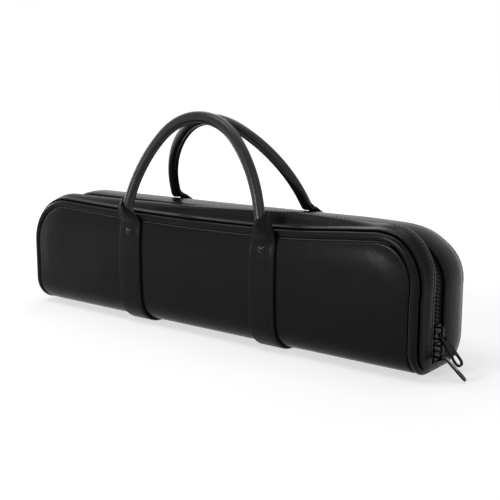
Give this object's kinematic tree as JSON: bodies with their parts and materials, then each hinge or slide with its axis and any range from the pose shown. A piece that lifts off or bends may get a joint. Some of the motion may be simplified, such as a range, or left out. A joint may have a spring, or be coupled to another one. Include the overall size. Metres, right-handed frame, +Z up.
{
  "type": "flute case",
  "caption": "Soft leather instrument case that stands on its narrow side, with a zip round the ends and top, rolled handles, straps and a padded cradle for a flute in its joints.",
  "frame": {"origin": "middle of the case's base on the plane it stands on", "axes": "+X along the case towards the end with the zip sliders, +Y from the front to the back, +Z up"},
  "size_m": [0.444, 0.0887, 0.1894],
  "materials": {
    "panel_leather": "satin black calf leather, fine grain",
    "gusset_leather": "satin black calf leather, fine grain",
    "welt_leather": "satin black leather rolled round a cord",
    "strap_leather": "satin black calf leather, edge stitched",
    "handle_leather": "smooth satin black leather",
    "handle_cord": "twisted cotton cord",
    "board": "stiff bag board",
    "lining_plush": "short plush",
    "padding_plush": "short plush on foam",
    "zip_tape": "woven tape",
    "zip_teeth": "black oxide",
    "slider_metal": "gloss black",
    "pull_metal": "gloss black",
    "rivet_metal": "satin black"
  },
  "bodies": {
    "back_half": {"back_panel": "panel_leather", "back_gusset": "gusset_leather", "back_welt": "welt_leather", "back_stiffener": "board", "back_lining": "lining_plush", "back_zip_tape": "zip_tape", "back_zip_teeth": "zip_teeth", "back_zip_stops": "zip_teeth", "back_strap_left": "strap_leather", "back_strap_right": "strap_leather", "back_rivets": "rivet_metal", "back_rivet_burrs": "rivet_metal", "cradle": "padding_plush"},
    "front_half": {"front_panel": "panel_leather", "front_gusset": "gusset_leather", "front_welt": "welt_leather", "front_stiffener": "board", "front_lining": "lining_plush", "front_zip_tape": "zip_tape", "front_zip_teeth": "zip_teeth", "front_zip_stops": "zip_teeth", "front_strap_left": "strap_leather", "front_strap_right": "strap_leather", "front_rivets": "rivet_metal", "front_rivet_burrs": "rivet_metal", "lid_pad": "padding_plush"},
    "front_handle": {"front_handle_sleeve": "handle_leather", "front_handle_cord": "handle_cord", "front_handle_tabs": "handle_leather"},
    "back_handle": {"back_handle_sleeve": "handle_leather", "back_handle_cord": "handle_cord", "back_handle_tabs": "handle_leather"},
    "upper_slider": {"upper_slider": "slider_metal"},
    "lower_slider": {"lower_slider": "slider_metal"},
    "upper_pull": {"upper_pull": "pull_metal"},
    "lower_pull": {"lower_pull": "pull_metal"}
  },
  "joints": [
    {"name": "case_fold", "type": "hinge", "parent": "back_half", "child": "front_half", "pos_m": [0, -0.009, 0], "axis": [1, 0, 0], "range_deg": [0, 175]},
    {"name": "front_handle_fold", "type": "hinge", "parent": "front_half", "child": "front_handle", "pos_m": [0, -0.0404, 0.093], "axis": [1, 0, 0], "range_deg": [0, 120]},
    {"name": "back_handle_fold", "type": "hinge", "parent": "back_half", "child": "back_handle", "pos_m": [0, 0.0404, 0.093], "axis": [-1, 0, 0], "range_deg": [0, 120]},
    {"name": "upper_slider_travel", "type": "slide", "parent": "back_half", "child": "upper_slider", "axis": [0, 0, 1], "range_m": [0, 0.021], "deforming": ["front_zip_teeth", "back_zip_teeth"]},
    {"name": "lower_slider_travel", "type": "slide", "parent": "back_half", "child": "lower_slider", "axis": [0, 0, 1], "range_m": [-0.0003, 0.001], "deforming": ["front_zip_teeth", "back_zip_teeth"]},
    {"name": "upper_pull_swing", "type": "hinge", "parent": "upper_slider", "child": "upper_pull", "pos_m": [0.21205, -0.009, 0.0332], "axis": [0, -1, 0], "range_deg": [0, 115]},
    {"name": "lower_pull_swing", "type": "hinge", "parent": "lower_slider", "child": "lower_pull", "pos_m": [0.21205, -0.009, 0.0194], "axis": [0, -1, 0], "range_deg": [0, 5]}
  ]
}
